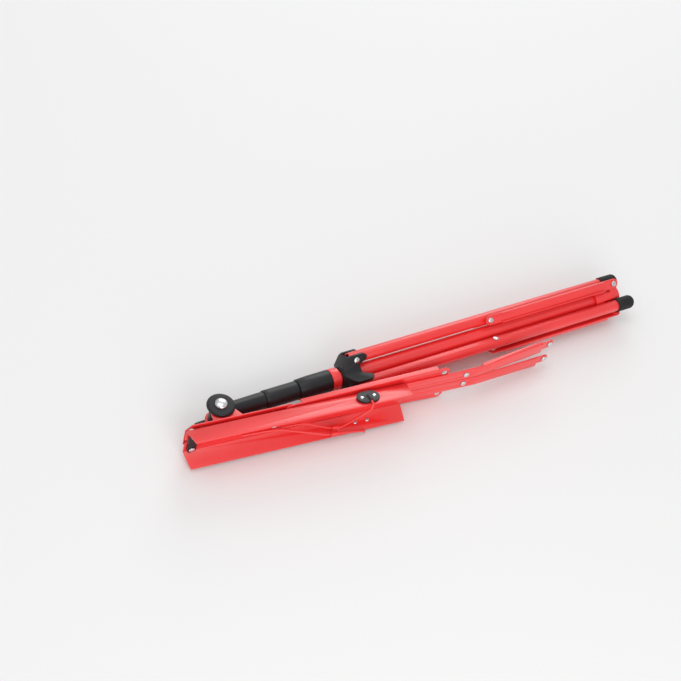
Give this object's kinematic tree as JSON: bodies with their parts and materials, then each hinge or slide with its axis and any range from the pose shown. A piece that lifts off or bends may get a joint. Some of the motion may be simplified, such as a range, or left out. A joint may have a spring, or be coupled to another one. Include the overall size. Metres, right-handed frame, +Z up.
{
  "type": "folding music stand",
  "caption": "Folding sheet-music stand lying collapsed: telescopic pole with twist collars, sliding-hub tripod, tilting head and a hinged two-wing desk with wire page holders.",
  "frame": {"origin": "on the floor under the middle of the lying, folded stand's bounding box", "axes": "+X along the pole from the head to the feet, +Z up, the desk's front faces -Y"},
  "size_m": [0.495, 0.0732, 0.0438],
  "materials": {
    "red_paint": "satin powder coat",
    "black_plastic": "moulded, fine grain",
    "black_rubber": "matt",
    "bright_steel": "nickel plated"
  },
  "bodies": {
    "base": {"lower_tube": "red_paint", "tube_ring": "red_paint", "lower_hub": "black_plastic", "lower_rivet_1": "bright_steel", "lower_rivet_2": "bright_steel", "lower_rivet_3": "bright_steel"},
    "collar_lower": {"lock_collar_lower": "black_plastic"},
    "middle_pole": {"middle_tube": "red_paint"},
    "collar_middle": {"lock_collar_middle": "black_plastic"},
    "upper_pole": {"upper_tube": "red_paint", "head_socket": "black_plastic"},
    "desk": {"head_bracket": "red_paint", "tilt_disc": "black_plastic", "tilt_bolt": "bright_steel", "spine_plate": "red_paint", "tray_link": "black_plastic", "tray_link_rivet_upper": "bright_steel", "tray_link_rivet_lower": "bright_steel", "spine_rivet_upper": "bright_steel", "spine_rivet_lower": "bright_steel"},
    "knob": {"tilt_knob": "black_plastic"},
    "hub_slider": {"hub": "black_plastic", "hub_rivet_1": "bright_steel", "hub_rivet_2": "bright_steel", "hub_rivet_3": "bright_steel"},
    "wing_upper": {"tray_upper": "red_paint", "tray_arm_rivet_upper": "bright_steel", "holder_clip_upper": "black_plastic"},
    "outer_upper": {"outer_arm_upper": "red_paint", "tip_strip_upper": "red_paint", "strip_rivet_upper": "bright_steel", "tip_rivet_upper": "bright_steel"},
    "inner_upper": {"inner_arm_upper": "red_paint", "elbow_rivet_upper": "bright_steel"},
    "holder_upper": {"holder_wire_upper": "red_paint", "holder_ferrule_upper": "red_paint"},
    "wing_lower": {"tray_lower": "red_paint", "tray_arm_rivet_lower": "bright_steel", "holder_clip_lower": "black_plastic"},
    "outer_lower": {"outer_arm_lower": "red_paint", "tip_strip_lower": "red_paint", "strip_rivet_lower": "bright_steel", "tip_rivet_lower": "bright_steel"},
    "inner_lower": {"inner_arm_lower": "red_paint", "elbow_rivet_lower": "bright_steel"},
    "holder_lower": {"holder_wire_lower": "red_paint", "holder_ferrule_lower": "red_paint"},
    "leg_1": {"leg_1": "red_paint", "foot_1": "black_rubber", "leg_rivet_1": "bright_steel"},
    "strut_1": {"strut_1": "red_paint"},
    "leg_2": {"leg_2": "red_paint", "foot_2": "black_rubber", "leg_rivet_2": "bright_steel"},
    "strut_2": {"strut_2": "red_paint"},
    "leg_3": {"leg_3": "red_paint", "foot_3": "black_rubber", "leg_rivet_3": "bright_steel"},
    "strut_3": {"strut_3": "red_paint"}
  },
  "joints": [
    {"name": "extend_lower", "type": "slide", "parent": "base", "child": "middle_pole", "axis": [-1, 0.0001, 0.0047], "range_m": [0, 0.24]},
    {"name": "extend_upper", "type": "slide", "parent": "middle_pole", "child": "upper_pole", "axis": [-1, 0.0001, 0.0047], "range_m": [0, 0.24]},
    {"name": "twist_collar_lower", "type": "hinge", "parent": "base", "child": "collar_lower", "pos_m": [-0.11054, 0.01783, 0.02157], "axis": [1, -0.0001, -0.0047], "range_deg": [0, 90]},
    {"name": "twist_collar_middle", "type": "hinge", "parent": "middle_pole", "child": "collar_middle", "pos_m": [-0.14454, 0.01783, 0.02173], "axis": [1, -0.0001, -0.0047], "range_deg": [0, 90]},
    {"name": "desk_tilt", "type": "hinge", "parent": "upper_pole", "child": "desk", "pos_m": [-0.20554, 0.01784, 0.02202], "axis": [-0.0047, -0.0107, -0.9999], "range_deg": [0, 150]},
    {"name": "turn_tilt_knob", "type": "hinge", "parent": "desk", "child": "knob", "pos_m": [-0.20561, 0.01768, 0.00702], "axis": [-0.0047, -0.0107, -0.9999], "range_deg": [0, 90]},
    {"name": "wing_spread_upper", "type": "hinge", "parent": "desk", "child": "wing_upper", "pos_m": [-0.2407, 0.00112, 0.03166], "axis": [-0.0924, -0.9957, 0.0111], "range_deg": [0, 90]},
    {"name": "outer_arm_upper", "type": "hinge", "parent": "wing_upper", "child": "outer_upper", "pos_m": [-0.16255, -0.00617, 0.02827], "axis": [-0.0924, -0.9957, 0.0111], "range_deg": [-75, 0]},
    {"name": "inner_arm_upper", "type": "hinge", "parent": "desk", "child": "inner_upper", "pos_m": [-0.14741, -0.00553, 0.0315], "axis": [-0.0924, -0.9957, 0.0111], "range_deg": [0, 64]},
    {"name": "page_holder_upper", "type": "hinge", "parent": "wing_upper", "child": "holder_upper", "pos_m": [-0.07898, -0.02604, 0.04095], "axis": [-0.0885, -0.9635, 0.2526], "range_deg": [0, 90]},
    {"name": "wing_spread_lower", "type": "hinge", "parent": "desk", "child": "wing_lower", "pos_m": [-0.24079, 0.00092, 0.01306], "axis": [0.0924, 0.9957, -0.0111], "range_deg": [0, 90]},
    {"name": "outer_arm_lower", "type": "hinge", "parent": "wing_lower", "child": "outer_lower", "pos_m": [-0.16261, -0.0063, 0.01587], "axis": [0.0924, 0.9957, -0.0111], "range_deg": [-75, 0]},
    {"name": "inner_arm_lower", "type": "hinge", "parent": "desk", "child": "inner_lower", "pos_m": [-0.1475, -0.00573, 0.0125], "axis": [0.0924, 0.9957, -0.0111], "range_deg": [0, 64]},
    {"name": "page_holder_lower", "type": "hinge", "parent": "wing_lower", "child": "holder_lower", "pos_m": [-0.07916, -0.02645, 0.00283], "axis": [0.0908, 0.9687, 0.2312], "range_deg": [0, 90]},
    {"name": "strut_pivot_1", "type": "hinge", "parent": "base", "child": "strut_1", "pos_m": [0.22851, 0.02636, 0.03169], "axis": [-0.0027, 0.8079, -0.5894], "range_deg": [0, 55]},
    {"name": "leg_pivot_1", "type": "hinge", "parent": "strut_1", "child": "leg_1", "pos_m": [0.08051, 0.02637, 0.03239], "axis": [-0.0027, 0.8079, -0.5894], "range_deg": [-110, 0]},
    {"name": "hub_pivot_1", "type": "hinge", "parent": "leg_1", "child": "hub_slider", "pos_m": [-0.06748, 0.02638, 0.03308], "axis": [-0.0027, 0.8079, -0.5894], "range_deg": [0, 55]},
    {"name": "hub_pivot_2", "type": "hinge", "parent": "hub_slider", "child": "leg_2", "pos_m": [-0.06753, 0.00341, 0.02291], "axis": [0.0047, 0.1065, 0.9943], "range_deg": [-55, 0]},
    {"name": "leg_pivot_2", "type": "hinge", "parent": "leg_2", "child": "strut_2", "pos_m": [0.08046, 0.00341, 0.02222], "axis": [0.0047, 0.1065, 0.9943], "range_deg": [0, 110]},
    {"name": "hub_pivot_3", "type": "hinge", "parent": "hub_slider", "child": "leg_3", "pos_m": [-0.0676, 0.0237, 0.00811], "axis": [-0.002, -0.9143, -0.4049], "range_deg": [-55, 0]},
    {"name": "leg_pivot_3", "type": "hinge", "parent": "leg_3", "child": "strut_3", "pos_m": [0.0804, 0.02369, 0.00742], "axis": [-0.002, -0.9143, -0.4049], "range_deg": [0, 110]}
  ],
  "couplings": [
    {"joint": "outer_arm_upper", "follows": "wing_spread_upper", "ratio": -0.8045},
    {"joint": "inner_arm_upper", "follows": "wing_spread_upper", "ratio": 0.6878},
    {"joint": "page_holder_upper", "follows": "wing_spread_upper", "ratio": 0.9},
    {"joint": "wing_spread_lower", "follows": "wing_spread_upper", "ratio": 1},
    {"joint": "outer_arm_lower", "follows": "wing_spread_upper", "ratio": -0.8045},
    {"joint": "inner_arm_lower", "follows": "wing_spread_upper", "ratio": 0.6878},
    {"joint": "page_holder_lower", "follows": "wing_spread_upper", "ratio": 0.9},
    {"joint": "strut_pivot_1", "follows": "desk_tilt", "ratio": 0.36666},
    {"joint": "leg_pivot_1", "follows": "desk_tilt", "ratio": -0.73332},
    {"joint": "hub_pivot_1", "follows": "desk_tilt", "ratio": 0.36666},
    {"joint": "hub_pivot_2", "follows": "desk_tilt", "ratio": -0.36666},
    {"joint": "leg_pivot_2", "follows": "desk_tilt", "ratio": 0.73332},
    {"joint": "hub_pivot_3", "follows": "desk_tilt", "ratio": -0.36666},
    {"joint": "leg_pivot_3", "follows": "desk_tilt", "ratio": 0.73332}
  ]
}
